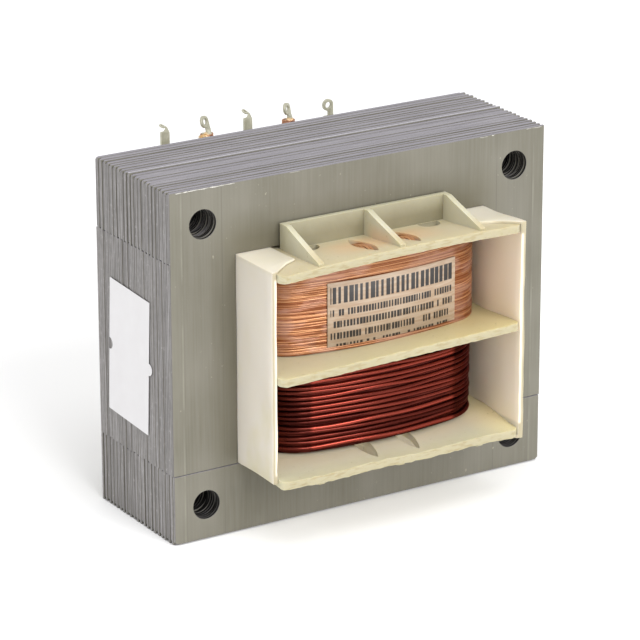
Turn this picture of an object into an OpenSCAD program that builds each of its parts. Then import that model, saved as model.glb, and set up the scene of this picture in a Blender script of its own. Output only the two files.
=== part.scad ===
// Chassis-type laminated mains transformer: an interleaved E and I core, a two-chamber bobbin with a
// primary above and two secondaries below, two side covers and two rows of solder lugs.
// Origin at the centre of the core's underside, +Z up, -Y towards the winding face that carries the label.

/* [Core] */
// Width of the E's centre leg
centre_leg_w = 22; // [20:0.5:26]
// Width of each outer leg
outer_leg_w = 11; // [9:0.5:14]
// Width of each winding window
window_w = 11; // [10:0.5:14]
// Height of each winding window
window_h = 33; // [28:0.5:40]
// Height of the yoke and of the I
yoke_h = 11; // [10:0.5:14]
// Thickness of one sheet
sheet_t = 0.5; // [0.35:0.05:0.65]
// Thickness of the oxide film between two sheets
film_t = 0.035; // [0.02:0.005:0.06]
// How far the film stays back from a sheet's edges
film_inset = 0.05; // [0.03:0.01:0.1]
// Number of sheet layers in the stack
layer_count = 42; // [30:2:50]
// Gap where an E's legs meet an I
joint_gap = 0.06; // [0.03:0.01:0.12]
// Corner radius of an I
i_corner_r = 0.8; // [0.4:0.1:1.5]

/* [Fixing holes] */
// Diameter of the four fixing holes
fixing_hole_d = 4.5; // [3.5:0.1:5.5]
// Distance from a fixing hole's centre to the core's two nearest edges
fixing_hole_inset = 5.5; // [4.5:0.1:6.5]

/* [Bobbin] */
// Play between the bobbin's tube and the centre leg, each side
leg_clear = 0.15; // [0.1:0.05:0.4]
// Wall of the bobbin's tube
tube_wall = 1.15; // [0.8:0.05:1.6]
// Thickness of the three flanges
flange_t = 1.2; // [0.9:0.1:1.6]
// How far the flanges stand out past the core, front and back
flange_reach = 11.7; // [11:0.1:15]
// Play between the bobbin with its covers and a window's ends, each side
window_clear = 0.1; // [0.05:0.05:0.3]
// Radius of a flange's corners
flange_corner_r = 1.2; // [0.5:0.1:2.5]

/* [Terminal blocks] */
// Height of a terminal block's barrier above its flange
barrier_h = 4; // [3:0.1:6]
// Thickness of the barrier and its ribs
barrier_t = 0.9; // [0.6:0.1:1.2]
// Distance between two ribs
rib_pitch = 14.1; // [12:0.1:14.5]
// Gap between the barrier and the core
barrier_gap = 0.3; // [0.1:0.1:0.8]
// Height of a front rib's end, near the flange's edge
rib_foot_h = 0.4; // [0.2:0.1:1.0]
// How far a front rib stops short of the flange's edge
rib_setback = 0.5; // [0.3:0.1:1.5]
// How far a rear rib stops short of the lugs
rib_lug_gap = 0.9; // [0.6:0.1:1.5]
// Width of a lead slot at its middle
lead_slot_w = 2.5; // [2:0.1:3]
// Distance between a lead slot's ends and the barrier, or the lugs' line
lead_slot_margin = 0.5; // [0.3:0.1:1.0]
// Distance of a start hole's centre from the middle
start_hole_x = 10.7; // [9:0.1:11.2]
// Diameter of a start hole, which the tube's face cuts off
start_hole_d = 3.7; // [3:0.1:4.2]
// How far a start hole reaches out from the tube
start_hole_reach = 2.2; // [2:0.1:2.6]

/* [Side covers] */
// Wall of a side cover
cover_wall = 0.8; // [0.6:0.1:1.1]
// Thickness of the lips that clasp the flanges
cover_lip_t = 0.4; // [0.3:0.05:0.7]
// Width of a lip from the cover's outer face
cover_lip_w = 6.1; // [4:0.1:7]
// How far a cover stands out past the core, front and back
cover_reach = 11.4; // [10.5:0.1:14]
// How far a lip's inner edge reaches past the core
cover_lip_reach = 7.4; // [5:0.1:9]
// Play between a cover and the window, and between a cover and the flanges
cover_clear = 0.1; // [0.05:0.05:0.2]

/* [Windings] */
// Radius of the windings' four corners
coil_corner_r = 7; // [5:0.25:8]
// Radius of the gentle bulge of the windings' front and back
coil_crown_r = 68; // [50:1:120]
// Play above a winding in its chamber
coil_top_clear = 0.1; // [0.05:0.05:0.3]
// Depth of the primary in front of the bobbin's tube
primary_build_y = 5.35; // [4:0.05:6]
// Depth of the primary beside the bobbin's tube
primary_build_x = 7.4; // [6:0.05:7.6]
// Diameter of the primary's wire over its enamel
primary_wire_d = 0.24; // [0.2:0.02:0.4]
// Depth of the inner secondary in front of the tube
inner_secondary_build_y = 2.6; // [2:0.05:3]
// Depth of the inner secondary beside the tube
inner_secondary_build_x = 3.5; // [2.6:0.05:4]
// Depth of both secondaries in front of the tube
secondary_build_y = 5.95; // [5:0.05:6.5]
// Depth of both secondaries beside the tube
secondary_build_x = 7.3; // [6:0.05:7.6]
// Diameter of the secondaries' wire over its enamel
secondary_wire_d = 0.7; // [0.5:0.05:0.9]
// Gap between a lead's last stretch and the flange under it
lead_lift = 0.4; // [0.2:0.1:1]
// How far a lead runs while it bends over the edge of its slot
lead_bend = 1.2; // [0.8:0.1:2]
// Height of the low hump that a lead makes between its slot and its lug
lead_hump = 0.2; // [0:0.1:1]
// Height above the flange at which a primary lead's turns round its lug begin
primary_wrap_h = 6.2; // [2:0.1:6.4]
// Height above the flange at which a secondary lead's turn round its lug lies
secondary_wrap_h = 3; // [1.5:0.1:6]

/* [Solder lugs] */
// Lugs in each of the two rows
lug_count = 5; // [3:2:5]
// Distance between neighbouring lugs
lug_pitch = 7.4; // [6.5:0.1:7.4]
// Distance from the lugs' line to the flange's rear edge
lug_edge = 0.9; // [0.7:0.1:1.5]
// Thickness of a lug
lug_t = 0.4; // [0.3:0.05:0.5]
// Width of a lug's blade
lug_blade_w = 1.6; // [1.3:0.1:2]
// Height of a blade above its flange
lug_blade_h = 7.6; // [6:0.1:7.8]
// Width of a lug's neck
lug_neck_w = 0.9; // [0.7:0.1:1.2]
// Height of a lug's neck, up to its bend
lug_neck_h = 0.5; // [0.3:0.1:1]
// Outer diameter of a lug's eye
lug_eye_d = 1.9; // [1.7:0.1:2.4]
// Hole in a lug's eye
lug_eye_hole_d = 1; // [0.8:0.1:1.2]
// Length of a lug's tail below its flange
lug_tail = 0.7; // [0.4:0.1:1]
// Play of a lug in its slot, each side
lug_fit = 0.02; // [0.01:0.01:0.05]

/* [Labels] */
// Thickness of both labels
label_t = 0.1; // [0.08:0.01:0.2]
// Width of the rating label on the primary's front
rating_label_w = 23; // [15:0.5:24]
// Height of the rating label
rating_label_h = 10; // [6:0.5:12]
// How far the rating label sits to the right of the middle
rating_label_shift = 1.6; // [-2:0.1:2]
// Gap between the rating label and the middle flange
rating_label_gap = 0.8; // [0.5:0.1:2]
// Width of the sticker on the core's side
side_label_w = 12; // [8:0.5:16]
// Height of the sticker on the core's side
side_label_h = 21.2; // [15:0.5:28]
// Height of that sticker's middle above the core's underside
side_label_z = 26.3; // [20:0.1:32]
// How far that sticker sits behind the core's middle
side_label_shift = 1.5; // [-3:0.1:3]
// Radius of the notch and of the tab in the sticker's long edges
side_label_tab_r = 0.95; // [0.6:0.05:1.5]

/* [Hidden] */
$fn = 48;
eps = 0.01;

core_w = centre_leg_w + 2 * window_w + 2 * outer_leg_w;
core_h = window_h + 2 * yoke_h;
core_mid_z = core_h / 2;
sheet_pitch = sheet_t + film_t;
stack = layer_count * sheet_pitch;
half_stack = stack / 2;
window_low_z = yoke_h;
window_x = centre_leg_w / 2 + window_w;

// The bobbin fills the windows' height, less the lips of the covers that clasp it.
tube_x = centre_leg_w / 2 + leg_clear + tube_wall;
tube_y = half_stack + leg_clear + tube_wall;
cover_low_z = window_low_z + window_clear;
cover_high_z = core_h - yoke_h - window_clear;
bobbin_low_z = cover_low_z + cover_lip_t;
bobbin_high_z = cover_high_z - cover_lip_t;
cover_x = window_x - cover_clear;
flange_x = cover_x - cover_wall - cover_clear;
flange_y = half_stack + flange_reach;
chamber_h = (bobbin_high_z - bobbin_low_z - 3 * flange_t) / 2;
lower_chamber_z = bobbin_low_z + flange_t;
upper_chamber_z = bobbin_high_z - flange_t - chamber_h;
coil_h = chamber_h - coil_top_clear;
// a winding's skin is the outer layer of turns: its depth, and how far its back lies inside the body
skin = 1;
skin_lap = 0.3;

barrier_x = rib_pitch + barrier_t / 2;
barrier_y = half_stack + barrier_gap;
lug_y = flange_y - lug_edge;
lead_slot_x = lug_pitch / 2;
lead_slot_l = lug_y - barrier_y - barrier_t - 2 * lead_slot_margin;
lead_slot_low_y = barrier_y + barrier_t + lead_slot_margin;

// Where a lead can pass an end flange, from left to right: X, the nearest Y and the length along Y.
LEAD_OPENINGS = [
    [-start_hole_x, tube_y, start_hole_reach],
    [-lead_slot_x, lead_slot_low_y, lead_slot_l],
    [lead_slot_x, lead_slot_low_y, lead_slot_l],
    [start_hole_x, tube_y, start_hole_reach]
];

// How far each lug's eye is bent outwards, in degrees, from left to right.
TOP_LUG_BENDS = [65, 15, 55, 10, 0];
BOTTOM_LUG_BENDS = [10, 0, 20, 5, 15];

// A lead is a wire end that leaves its winding through an opening and wraps one lug.
// Each entry: opening, lug, the fraction of the opening's length at which it rises, turns on the lug.
PRIMARY_LEADS = [[1, 1, 0.12, 4], [2, 3, 0.45, 4]];
INNER_SECONDARY_LEADS = [[0, 0, 0.5, 1], [1, 1, 0.16, 1]];
OUTER_SECONDARY_LEADS = [[2, 3, 0.575, 1], [2, 4, 0.32, 1]];

// ---- small helpers ----

// Copies of the children on both sides of the plane X = 0.
module both_sides() {
    children();
    mirror([1, 0, 0]) children();
}

// Copies of the children at the front and at the back.
module front_and_back() {
    children();
    mirror([0, 1, 0]) children();
}

// The children turned upside down about the middle of the core's height.
module upside_down() {
    translate([0, 0, core_h]) mirror([0, 0, 1]) children();
}

// A rectangle centred on the origin with round corners.
module round_rect(size, r) {
    square([size.x - 2 * r, size.y], center = true);
    square([size.x, size.y - 2 * r], center = true);
    for (x = [-1, 1], y = [-1, 1])
        translate([x * (size.x / 2 - r), y * (size.y / 2 - r)]) circle(r = r);
}

// ---- core ----

module fixing_holes() {
    for (x = [-1, 1], z = [fixing_hole_inset, core_h - fixing_hole_inset])
        translate([x * (core_w / 2 - fixing_hole_inset), z]) circle(d = fixing_hole_d);
}

// Outline of an E with its yoke on top, drawn with X across and Y up, and drawn in by inset.
module e_outline(inset = 0) {
    leg_low = yoke_h + joint_gap + inset;
    difference() {
        translate([-core_w / 2 + inset, leg_low])
            square([core_w - 2 * inset, core_h - leg_low - inset]);
        for (side = [-1, 1])
            translate([side * (centre_leg_w + window_w) / 2, (leg_low - inset + window_low_z + window_h) / 2])
                square([window_w + 2 * inset, window_h - joint_gap + 2 * inset], center = true);
        fixing_holes();
    }
}

// Outline of the I that closes the E's legs at the bottom.
module i_outline(inset = 0) {
    r = i_corner_r - inset;
    difference() {
        union() {
            translate([-core_w / 2 + inset + r, inset]) square([core_w - 2 * inset - 2 * r, r + eps]);
            translate([-core_w / 2 + inset, inset + r])
                square([core_w - 2 * inset, yoke_h - 2 * inset - r]);
            for (side = [-1, 1])
                translate([side * (core_w / 2 - inset - r), inset + r]) circle(r = r);
        }
        fixing_holes();
    }
}

// One sheet with its oxide film behind it. Child 0 is the sheet's outline, child 1 the film's.
module sheet(layer) {
    translate([0, -half_stack + layer * sheet_pitch, 0]) rotate([90, 0, 0]) {
        translate([0, 0, -sheet_t]) linear_extrude(sheet_t) children(0);
        translate([0, 0, -sheet_pitch]) linear_extrude(film_t + eps) children(1);
    }
}

module e_laminations_yoke_up() {
    color([0.58, 0.57, 0.53])
        for (layer = [0 : 2 : layer_count - 1])
            sheet(layer) {
                e_outline();
                e_outline(film_inset);
            }
}

module i_laminations_bottom() {
    color([0.56, 0.55, 0.51])
        for (layer = [0 : 2 : layer_count - 1])
            sheet(layer) {
                i_outline();
                i_outline(film_inset);
            }
}

module e_laminations_yoke_down() {
    color([0.54, 0.53, 0.52])
        upside_down() for (layer = [1 : 2 : layer_count - 1])
            sheet(layer) {
                e_outline();
                e_outline(film_inset);
            }
}

module i_laminations_top() {
    color([0.52, 0.51, 0.5])
        upside_down() for (layer = [1 : 2 : layer_count - 1])
            sheet(layer) {
                i_outline();
                i_outline(film_inset);
            }
}

// ---- bobbin ----

module flange(z) {
    translate([0, 0, z]) linear_extrude(flange_t)
        round_rect([2 * flange_x, 2 * flange_y], flange_corner_r);
}

// A pointed oval slot along Y, between two ribs.
module lead_slot() {
    half_w = lead_slot_w / 2;
    arc_r = (pow(lead_slot_l / 2, 2) + pow(half_w, 2)) / (2 * half_w);
    translate([lead_slot_x, lead_slot_low_y + lead_slot_l / 2]) intersection() {
        translate([arc_r - half_w, 0]) circle(r = arc_r, $fn = 160);
        translate([half_w - arc_r, 0]) circle(r = arc_r, $fn = 160);
    }
}

// A round hole against the tube's face, for the start of a winding.
module start_hole() {
    translate([start_hole_x, tube_y]) intersection() {
        translate([0, start_hole_reach - start_hole_d / 2]) circle(d = start_hole_d);
        translate([-start_hole_d, 0]) square(2 * start_hole_d);
    }
}

// The openings for leads, right through the top flange: four at the front and four at the back.
module lead_openings() {
    translate([0, 0, bobbin_high_z - flange_t - eps]) linear_extrude(flange_t + 2 * eps)
        front_and_back() both_sides() {
            lead_slot();
            start_hole();
        }
}

// A sloping rib from the barrier's top down to the flange, in the plane X = x.
module rib(x, reach) {
    translate([x - barrier_t / 2, barrier_y, bobbin_high_z - eps]) rotate([90, 0, 90])
        linear_extrude(barrier_t) polygon([
            [0, 0],
            [reach, 0],
            [reach, rib_foot_h + eps],
            [reach * 0.8, rib_foot_h + 0.22 * (barrier_h - rib_foot_h)],
            [2 * barrier_t, barrier_h],
            [0, barrier_h + eps]
        ]);
}

// The barrier and its three ribs on the top flange's rear half, with ribs of the given reach.
module terminal_block(reach) {
    translate([-barrier_x, barrier_y, bobbin_high_z - eps])
        cube([2 * barrier_x, barrier_t, barrier_h + eps]);
    for (x = [-rib_pitch, 0, rib_pitch]) rib(x, reach);
}

// Slots in the top flange that hold the blades of the lugs.
module lug_slots() {
    for (i = [0 : lug_count - 1])
        translate([lug_x(i), lug_y, bobbin_high_z - flange_t / 2])
            cube([lug_blade_w + 2 * lug_fit, lug_t + 2 * lug_fit, flange_t + 2 * eps], center = true);
}

// Everything on the bobbin's top end: blocks at the front and at the back, lead openings and lug slots.
module bobbin_end() {
    front_reach = flange_y - barrier_y - rib_setback;
    rear_reach = lug_y - barrier_y - rib_lug_gap;
    difference() {
        union() {
            flange(bobbin_high_z - flange_t);
            terminal_block(rear_reach);
            mirror([0, 1, 0]) terminal_block(front_reach);
        }
        lead_openings();
        lug_slots();
        leg_passage();
    }
}

// The room for the core's centre leg.
module leg_passage() {
    translate([0, 0, core_mid_z])
        cube([centre_leg_w + 2 * leg_clear, stack + 2 * leg_clear, core_h], center = true);
}

module bobbin() {
    color([0.88, 0.85, 0.7]) {
        bobbin_end();
        upside_down() bobbin_end();
        difference() {
            union() {
                translate([-tube_x, -tube_y, bobbin_low_z + flange_t / 2])
                    cube([2 * tube_x, 2 * tube_y, bobbin_high_z - bobbin_low_z - flange_t]);
                flange(core_mid_z - flange_t / 2);
            }
            leg_passage();
        }
    }
}

// ---- side covers ----

// Outline of a lip on the right, seen from above, with its corners cut back towards the cover's wall.
module cover_lip_outline() {
    inner_x = cover_x - cover_lip_w;
    mid_x = cover_x - 0.65 * cover_lip_w;
    lip_y = half_stack + cover_lip_reach;
    end_y = half_stack + cover_reach;
    polygon([
        [inner_x, -lip_y],
        [mid_x, -lip_y - 0.3 * (end_y - lip_y)],
        [cover_x - cover_wall, -end_y],
        [cover_x, -end_y],
        [cover_x, end_y],
        [cover_x - cover_wall, end_y],
        [mid_x, lip_y + 0.3 * (end_y - lip_y)],
        [inner_x, lip_y]
    ]);
}

module side_cover() {
    cover_y = half_stack + cover_reach;
    translate([cover_x - cover_wall, -cover_y, cover_low_z])
        cube([cover_wall, 2 * cover_y, cover_high_z - cover_low_z]);
    for (z = [cover_low_z, cover_high_z - cover_lip_t])
        translate([0, 0, z]) linear_extrude(cover_lip_t) cover_lip_outline();
}

module side_cover_left() {
    color([0.9, 0.88, 0.83]) mirror([1, 0, 0]) side_cover();
}

module side_cover_right() {
    color([0.9, 0.88, 0.83]) side_cover();
}

// ---- windings ----

// A winding's outline is four corners of radius r joined by straight sides and by bulging ends.
// half is [half width, half depth at the bulge's top].
function corner_centre(half, r, crown) =
    [half.x - r, half.y - crown + sqrt(pow(crown - r, 2) - pow(half.x - r, 2))];
function crown_angle(half, r, crown) = asin((half.x - r) / (crown - r));

// The points of that outline's quarter with X and Y positive, from the side to the middle of the bulge.
function quarter_points(half, r, crown, steps = 8) =
    let (c = corner_centre(half, r, crown), tilt = crown_angle(half, r, crown))
    concat(
        [for (i = [0 : steps]) let (a = i * (90 - tilt) / steps) c + r * [cos(a), sin(a)]],
        [for (i = [1 : steps]) let (a = 90 - tilt + i * tilt / steps)
            [0, half.y - crown] + crown * [cos(a), sin(a)]]
    );
function outline_points(half, r, crown) =
    let (q = quarter_points(half, r, crown), n = len(q) - 1)
    concat(
        q,
        [for (i = [n - 1 : -1 : 0]) [-q[i].x, q[i].y]],
        [for (i = [0 : n]) [-q[i].x, -q[i].y]],
        [for (i = [n - 1 : -1 : 0]) [q[i].x, -q[i].y]]
    );

// Profile of a winding's skin: radius along X, height along Y, one round ridge a turn.
module round_turns(r, depth, wire_d, turns) {
    pitch = coil_h / turns;
    polygon(concat(
        [[r - depth, 0], [r - wire_d / 2, 0]],
        [for (i = [0 : turns - 1], a = [-45 : 45 : 90])
            [r - wire_d / 2 * (1 - cos(a)), (i + 0.5) * pitch + pitch / 2 * sin(a)]],
        [[r - depth, coil_h]]
    ));
}

// The same for fine wire, with one shallow vee between neighbouring turns.
module fine_turns(r, depth, wire_d, turns) {
    pitch = coil_h / turns;
    polygon(concat(
        [[r - depth, 0], [r - wire_d / 3, 0]],
        [for (i = [0 : turns - 1], k = [0 : 1])
            k == 0 ? [r, (i + 0.5) * pitch] : [r - wire_d / 3, (i + 1) * pitch]],
        [[r - depth, coil_h]]
    ));
}

// Sweeps a profile, drawn by the first child at radius r and the second at radius crown, round a winding.
module sweep_round(half, r, crown) {
    c = corner_centre(half, r, crown);
    tilt = crown_angle(half, r, crown);
    for (x = [0, 1], y = [0, 1]) mirror([x, 0, 0]) mirror([0, y, 0])
        translate(c) rotate_extrude(angle = 90 - tilt, $fn = 96) children(0);
    front_and_back() translate([0, half.y - crown, 0]) rotate([0, 0, 90 - tilt])
        rotate_extrude(angle = 2 * tilt, $fn = 360) children(1);
    both_sides() translate([c.x, c.y, 0]) rotate([90, 0, 0]) linear_extrude(2 * c.y) children(0);
}

// A winding's body, set back from its outer face and laid round what the child's outline leaves free.
module coil_body(half, setback) {
    linear_extrude(coil_h) difference() {
        polygon(outline_points(
            half - [setback, setback], coil_corner_r - setback, coil_crown_r - setback));
        children();
    }
}

// ---- leads ----

function lug_x(i) = (i - (lug_count - 1) / 2) * lug_pitch;

// A point on a smooth curve through p1 and p2, with p0 and p3 as their outer neighbours.
function curve_point(p0, p1, p2, p3, t) =
    0.5 * ((2 * p1) + (p2 - p0) * t + (2 * p0 - 5 * p1 + 4 * p2 - p3) * t * t
        + (3 * p1 - p0 - 3 * p2 + p3) * t * t * t);
function smooth_path(pts, steps) =
    let (n = len(pts) - 1)
    concat(
        [for (i = [0 : n - 1], k = [0 : steps - 1])
            curve_point(pts[max(i - 1, 0)], pts[i], pts[i + 1], pts[min(i + 2, n)], k / steps)],
        [pts[n]]
    );
function unit(v) = v / norm(v);

// A tube of eight sides along a path that never runs along X for long.
module tube_along(path, d) {
    n = len(path);
    sides = 8;
    rings = [for (i = [0 : n - 1])
        let (
            dir = unit(path[min(i + 1, n - 1)] - path[max(i - 1, 0)]),
            u = unit(cross(dir, [1, 0.2, 0])),
            v = cross(dir, u)
        )
        for (k = [0 : sides - 1])
            path[i] + d / 2 * (cos(360 * k / sides) * u + sin(360 * k / sides) * v)];
    polyhedron(
        points = rings,
        faces = concat(
            [[for (k = [0 : sides - 1]) k]],
            [[for (k = [sides - 1 : -1 : 0]) (n - 1) * sides + k]],
            [for (i = [0 : n - 2], k = [0 : sides - 1]) [
                i * sides + k, (i + 1) * sides + k,
                (i + 1) * sides + (k + 1) % sides, i * sides + (k + 1) % sides
            ]]
        )
    );
}

// One lead on the top end, from just inside its winding's end face to its turns round a lug's blade.
module lead(entry, wire_d, coil_top_z, wrap_h) {
    opening = LEAD_OPENINGS[entry[0]];
    slot_x = opening[0];
    lug = [lug_x(entry[1]), lug_y];
    rise_y = opening[1] + entry[2] * opening[2];
    turn_r = norm([lug_blade_w, lug_t]) / 2 + wire_d / 2;
    low_z = bobbin_high_z + wire_d / 2 + lead_lift;
    turn_z = bobbin_high_z + wrap_h;
    side = slot_x > lug.x ? 1 : -1;
    tube_along(smooth_path([
        [slot_x, rise_y, coil_top_z - wire_d],
        [slot_x, rise_y, bobbin_high_z],
        [slot_x, rise_y + lead_bend, low_z + lead_hump],
        [(slot_x + lug.x) / 2, lug_y - 2 * turn_r, low_z + lead_hump],
        [lug.x + side * (turn_r + wire_d), lug_y - turn_r, (low_z + turn_z) / 2],
        [lug.x + side * turn_r, lug_y, turn_z]
    ], 3), wire_d);
    for (i = [0 : entry[3] - 1])
        translate([lug.x, lug_y, turn_z + i * wire_d])
            rotate_extrude() translate([turn_r, 0]) circle(d = wire_d * 1.02, $fn = 16);
}

module primary_winding() {
    half = [tube_x + primary_build_x, tube_y + primary_build_y];
    turns = floor(coil_h / primary_wire_d);
    color([0.83, 0.52, 0.33]) {
        translate([0, 0, upper_chamber_z]) {
            coil_body(half, skin - skin_lap) square([2 * tube_x, 2 * tube_y], center = true);
            sweep_round(half, coil_corner_r, coil_crown_r) {
                fine_turns(coil_corner_r, skin, primary_wire_d, turns);
                fine_turns(coil_crown_r, skin, primary_wire_d, turns);
            }
        }
        for (entry = PRIMARY_LEADS) lead(entry, primary_wire_d, upper_chamber_z + coil_h, primary_wrap_h);
    }
}

module inner_secondary_winding() {
    half = [tube_x + inner_secondary_build_x, tube_y + inner_secondary_build_y];
    color([0.45, 0.14, 0.12]) {
        translate([0, 0, lower_chamber_z]) linear_extrude(coil_h) difference() {
            round_rect(2 * half, inner_secondary_build_y);
            square([2 * tube_x, 2 * tube_y], center = true);
        }
        upside_down() for (entry = INNER_SECONDARY_LEADS)
            lead(entry, secondary_wire_d, core_h - lower_chamber_z, secondary_wrap_h);
    }
}

module outer_secondary_winding() {
    half = [tube_x + secondary_build_x, tube_y + secondary_build_y];
    inner = [tube_x + inner_secondary_build_x, tube_y + inner_secondary_build_y];
    turns = floor(coil_h / secondary_wire_d);
    color([0.5, 0.15, 0.13]) {
        translate([0, 0, lower_chamber_z]) {
            coil_body(half, skin - skin_lap) round_rect(2 * inner, inner_secondary_build_y);
            sweep_round(half, coil_corner_r, coil_crown_r) {
                round_turns(coil_corner_r, skin, secondary_wire_d, turns);
                round_turns(coil_crown_r, skin, secondary_wire_d, turns);
            }
        }
        upside_down() for (entry = OUTER_SECONDARY_LEADS)
            lead(entry, secondary_wire_d, core_h - lower_chamber_z, secondary_wrap_h);
    }
}

// ---- solder lugs ----

// One lug standing in the top flange, with its eye bent outwards.
module lug(x, bend) {
    tail_z = bobbin_high_z - flange_t - lug_tail;
    blade_top_z = bobbin_high_z + lug_blade_h;
    neck_x = (lug_blade_w - lug_neck_w) / 2;
    color([0.72, 0.71, 0.64]) translate([x, lug_y, 0]) {
        translate([-lug_blade_w / 2, -lug_t / 2, tail_z])
            cube([lug_blade_w, lug_t, blade_top_z - tail_z]);
        translate([neck_x, 0, 0]) {
            translate([-lug_neck_w / 2, -lug_t / 2, blade_top_z - eps])
                cube([lug_neck_w, lug_t, lug_neck_h + eps]);
            translate([0, 0, blade_top_z + lug_neck_h]) {
                rotate([0, 90, 0]) cylinder(d = lug_t, h = lug_neck_w, center = true);
                rotate([-bend, 0, 0]) lug_eye();
            }
        }
    }
}

// The eye on its short stalk, standing in the plane Y = 0 with its right side in line with the stalk's.
module lug_eye() {
    stalk = 0.3;
    eye = [(lug_neck_w - lug_eye_d) / 2, stalk + lug_eye_d / 2];
    translate([0, lug_t / 2, 0]) rotate([90, 0, 0]) linear_extrude(lug_t) difference() {
        union() {
            translate([-lug_neck_w / 2, 0]) square([lug_neck_w, eye.y]);
            translate(eye) circle(d = lug_eye_d);
        }
        translate(eye) circle(d = lug_eye_hole_d);
    }
}

module top_lug(i) {
    lug(lug_x(i), TOP_LUG_BENDS[i]);
}

module bottom_lug(i) {
    upside_down() lug(lug_x(i), BOTTOM_LUG_BENDS[i]);
}

// ---- labels ----

// The rating label follows the bulge of the primary's front.
module rating_label() {
    front_y = tube_y + primary_build_y;
    label_r = coil_crown_r;
    turn = rating_label_w / label_r * 180 / PI;
    middle = rating_label_shift / label_r * 180 / PI;
    color([0.9, 0.84, 0.76])
        translate([0, coil_crown_r - front_y, upper_chamber_z + rating_label_gap])
            rotate([0, 0, -90 + middle - turn / 2])
                rotate_extrude(angle = turn, $fn = 360) translate([label_r, 0])
                    square([label_t, rating_label_h]);
}

// The sticker on the core's left side, with a notch in its rear edge and a tab on its front edge.
module side_label() {
    color([0.95, 0.94, 0.93])
        translate([-core_w / 2, side_label_shift, side_label_z]) rotate([90, 0, -90])
            linear_extrude(label_t) difference() {
                union() {
                    square([side_label_w, side_label_h], center = true);
                    translate([side_label_w / 2, 0]) circle(r = side_label_tab_r);
                }
                translate([-side_label_w / 2, 0]) circle(r = side_label_tab_r);
            }
}

e_laminations_yoke_up();
i_laminations_bottom();
e_laminations_yoke_down();
i_laminations_top();
bobbin();
side_cover_left();
side_cover_right();
primary_winding();
inner_secondary_winding();
outer_secondary_winding();
top_lug(0);  // top_lug_1
top_lug(1);  // top_lug_2
top_lug(2);  // top_lug_3
top_lug(3);  // top_lug_4
top_lug(4);  // top_lug_5
bottom_lug(0);  // bottom_lug_1
bottom_lug(1);  // bottom_lug_2
bottom_lug(2);  // bottom_lug_3
bottom_lug(3);  // bottom_lug_4
bottom_lug(4);  // bottom_lug_5
rating_label();
side_label();
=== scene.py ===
"""A laminated chassis transformer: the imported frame, finished and lit for a studio picture.

Lengths are in millimetres. They turn into metres where a mesh, a node or a light takes them.
"""

import math
import random

import bmesh
import bpy
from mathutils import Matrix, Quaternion, Vector, noise

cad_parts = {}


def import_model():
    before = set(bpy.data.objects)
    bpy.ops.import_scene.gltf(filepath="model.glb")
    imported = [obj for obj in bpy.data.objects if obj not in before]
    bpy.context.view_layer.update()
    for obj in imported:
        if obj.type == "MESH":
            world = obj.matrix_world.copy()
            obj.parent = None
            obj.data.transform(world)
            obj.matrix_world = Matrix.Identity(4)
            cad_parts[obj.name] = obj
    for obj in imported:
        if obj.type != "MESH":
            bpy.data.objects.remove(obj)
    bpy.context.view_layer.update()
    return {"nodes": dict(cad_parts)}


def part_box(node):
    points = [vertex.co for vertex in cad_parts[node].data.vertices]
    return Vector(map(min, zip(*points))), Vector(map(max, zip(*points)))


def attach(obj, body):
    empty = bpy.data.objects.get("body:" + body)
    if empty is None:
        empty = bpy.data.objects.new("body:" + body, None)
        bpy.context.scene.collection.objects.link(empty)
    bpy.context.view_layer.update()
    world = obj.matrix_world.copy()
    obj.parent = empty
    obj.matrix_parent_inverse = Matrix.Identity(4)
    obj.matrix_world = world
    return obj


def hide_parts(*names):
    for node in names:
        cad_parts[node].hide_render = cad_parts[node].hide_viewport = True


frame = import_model()
MM = 0.001
X, Y, Z = range(3)
random.seed(66)


# ---- sizes, from the frame where it has them ----

def node_box(name):
    """The lowest and the highest corner of a node."""
    return [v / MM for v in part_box(name)]


STACK_LOW, STACK_HIGH = node_box("e_laminations_yoke_up")
CORE_W = STACK_HIGH.x - STACK_LOW.x
CORE_H = STACK_HIGH.z
UNIT = CORE_W / 6  # the stamping's unit: the width of an outer leg, of a window and of a yoke
LAYERS = 42
HALF_STACK = -STACK_LOW.y
PITCH = 2 * HALF_STACK / LAYERS  # a sheet with its film
HOLE_INSET = UNIT / 2
HOLE_R = 2.25

BOBBIN_LOW = node_box("bobbin")[0]
COVER_LOW, COVER_HIGH = node_box("side_cover_right")
COVER_LIP = 0.4
COVER_Y = -COVER_LOW.y
FLANGE_Y = -BOBBIN_LOW.y
FLANGE_T = 1.2
TUBE_X, TUBE_Y = 12.3, 12.535  # half the outer width and depth of the bobbin's tube
TOP_FLANGE_Z = COVER_HIGH.z - COVER_LIP  # the upper face of the top flange
BOTTOM_FLANGE_Z = COVER_LOW.z + COVER_LIP  # the lower face of the bottom flange
MIDDLE_Z = CORE_H / 2
CHAMBER_H = MIDDLE_Z - FLANGE_T / 2 - BOTTOM_FLANGE_Z - FLANGE_T
COIL_H = CHAMBER_H - 0.1
LOWER_COIL_Z = BOTTOM_FLANGE_Z + FLANGE_T
UPPER_COIL_Z = MIDDLE_Z + FLANGE_T / 2
CROWN_R = 68.0  # the radius of a winding's gently bowed front and back
FINE_D, THICK_D = 0.24, 0.7  # the primary's and the secondaries' wire, over the enamel

LUG_W, LUG_T = 1.6, 0.4
LUG_COUNT = 5
LUG_X = [node_box(f"top_lug_{number}")[1].x - LUG_W / 2 for number in range(1, LUG_COUNT + 1)]
LUG_PITCH = LUG_X[1] - LUG_X[0]
LUG_Y = FLANGE_Y - 0.9
NECK_H = 7.85  # height above the flange at which a lug's eye is bent

# The two lead slots of an end flange: the X, the nearest Y and the length along Y.
LEAD_SLOTS = [(side * LUG_PITCH / 2, 12.935, 8.6) for side in (-1, 1)]
LEAD_LIFT, LEAD_BEND, LEAD_HUMP = 0.4, 1.2, 0.2  # a lead's gap over the flange, its bend there and its hump

LABEL_LOW, LABEL_HIGH = node_box("rating_label")


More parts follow.
